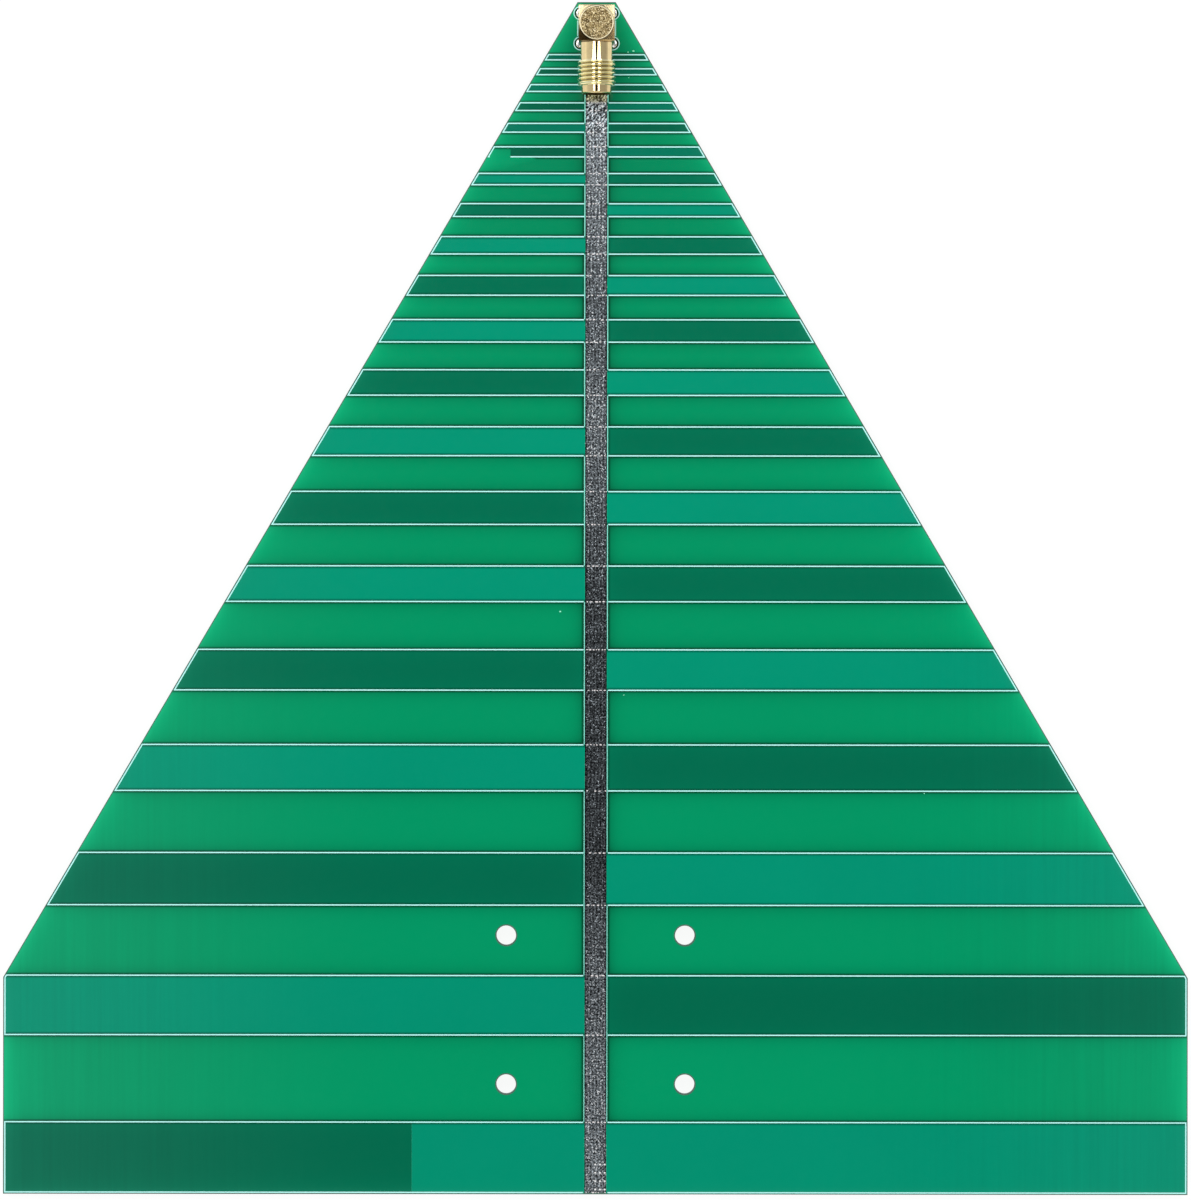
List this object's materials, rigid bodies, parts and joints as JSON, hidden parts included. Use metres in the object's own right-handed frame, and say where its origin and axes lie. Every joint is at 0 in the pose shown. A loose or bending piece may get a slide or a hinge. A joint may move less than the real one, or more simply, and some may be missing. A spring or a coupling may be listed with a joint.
{
  "type": "log-periodic antenna",
  "caption": "Flat tapered printed antenna board with copper arms on both faces, a tinned centre line and a right-angle coaxial jack at its tip.",
  "frame": {"origin": "centre of the four mounting holes, on the board's back face", "axes": "+Z out of the front face, +Y towards the tip that holds the jack, +X to the right seen from the front; the jack's mouth points along -Y"},
  "size_m": [0.199, 0.2003, 0.0125],
  "materials": {
    "laminate": "cut glass-epoxy, satin",
    "copper": "etched copper foil",
    "green_lacquer": "semi-gloss translucent lacquer",
    "tin": "dull mottled tin",
    "white_ink": "printed ink, matte",
    "gold_plate": "gold plating over brass",
    "white_insulator": "waxy white plastic",
    "solder": "bright solder"
  },
  "bodies": {
    "root": {"fr4_core": "laminate", "front_copper": "copper", "back_copper": "copper", "front_solder_mask": "green_lacquer", "back_solder_mask": "green_lacquer", "front_tin": "tin", "back_tin": "tin", "front_silkscreen": "white_ink", "leg_hole_platings": "copper", "feed_hole_plating": "copper", "termination_vias": "tin", "jack_body": "gold_plate", "jack_cap": "gold_plate", "jack_barrel": "gold_plate", "barrel_insulator": "white_insulator", "base_insulator": "white_insulator", "centre_contact": "gold_plate", "feed_pin": "gold_plate", "contact_solder": "solder", "feed_solder": "solder", "ground_solder_tail_left": "solder", "ground_solder_tail_right": "solder", "ground_solder_tip_left": "solder", "ground_solder_tip_right": "solder"}
  },
  "joints": []
}
